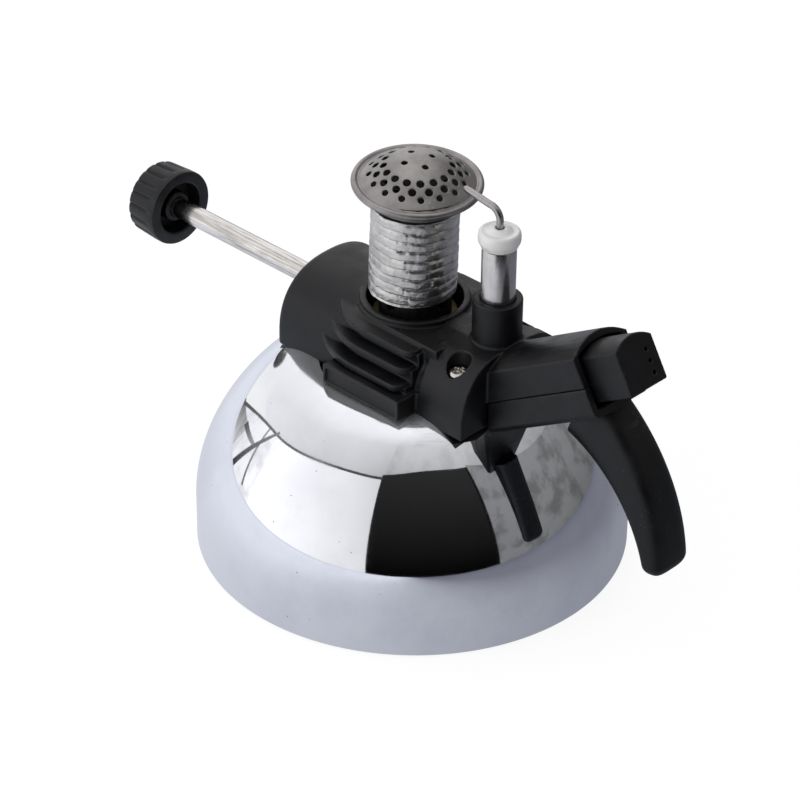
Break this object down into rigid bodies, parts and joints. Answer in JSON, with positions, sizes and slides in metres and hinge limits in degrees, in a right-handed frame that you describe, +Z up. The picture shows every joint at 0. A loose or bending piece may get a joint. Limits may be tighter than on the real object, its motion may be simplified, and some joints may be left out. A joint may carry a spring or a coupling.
{
  "type": "table-top butane burner",
  "caption": "Refillable table-top gas burner: chromed dome tank, black housing, perforated burner head, spark electrode, push-button igniter arm with a curved handle, gas knob on a rod.",
  "frame": {"origin": "on the table, under the middle of the round tank", "axes": "+Z up along the burner axis, +X towards the igniter button, -X towards the gas knob"},
  "size_m": [0.1476, 0.09, 0.0887],
  "materials": {
    "chrome": "mirror-bright plating",
    "black_plastic": "fine satin moulding",
    "steel": "bright drawn steel",
    "satin_steel": "satin pressed steel",
    "sleeve_metal": "wound foil ribbon",
    "brass": "turned",
    "ceramic": "white glazed ceramic",
    "rubber": "matt",
    "wick_fibre": "felted fibre",
    "lead_sleeve": "flexible sleeve"
  },
  "bodies": {
    "burner_body": {"tank_shell": "chrome", "base_plate": "steel", "foot_ring": "rubber", "fill_valve_body": "brass", "fill_valve_spring": "steel", "fill_valve_retainer": "brass", "fill_valve_seal": "rubber", "tank_neck": "brass", "neck_gasket": "rubber", "dip_tube": "brass", "wick": "wick_fibre", "housing_base": "black_plastic", "housing_cover": "black_plastic", "cover_screw_front": "steel", "cover_screw_rear": "steel", "handle": "black_plastic", "piezo_body": "lead_sleeve", "button_spring": "steel", "high_voltage_lead": "lead_sleeve", "valve_body": "brass", "gland_ring": "rubber", "gland_nut": "brass", "gas_jet": "brass", "mixing_tube": "steel", "wound_sleeve": "sleeve_metal", "burner_cup": "satin_steel", "flame_gauze": "steel", "burner_cap": "satin_steel", "electrode_tube": "steel", "insulator": "ceramic", "electrode_wire": "steel"},
    "gas_control": {"control_rod": "steel", "needle": "brass", "control_knob": "black_plastic"},
    "igniter_button": {"ignition_button": "black_plastic", "piezo_plunger": "ceramic"},
    "fill_stem": {"fill_valve_stem": "brass"}
  },
  "joints": [
    {"name": "gas_knob_turn", "type": "hinge", "parent": "burner_body", "child": "gas_control", "pos_m": [-0.0692, 0, 0.04912], "axis": [-1, 0, 0], "range_deg": [0, 270]},
    {"name": "igniter_press", "type": "slide", "parent": "burner_body", "child": "igniter_button", "axis": [-0.8616, 0, -0.5075], "range_m": [0, 0.005], "stiffness_N_per_m": 600, "deforming": ["button_spring"]},
    {"name": "fill_stem_press", "type": "slide", "parent": "burner_body", "child": "fill_stem", "axis": [0, 0, 1], "range_m": [0, 0.0015], "stiffness_N_per_m": 800, "deforming": ["fill_valve_spring"]}
  ]
}
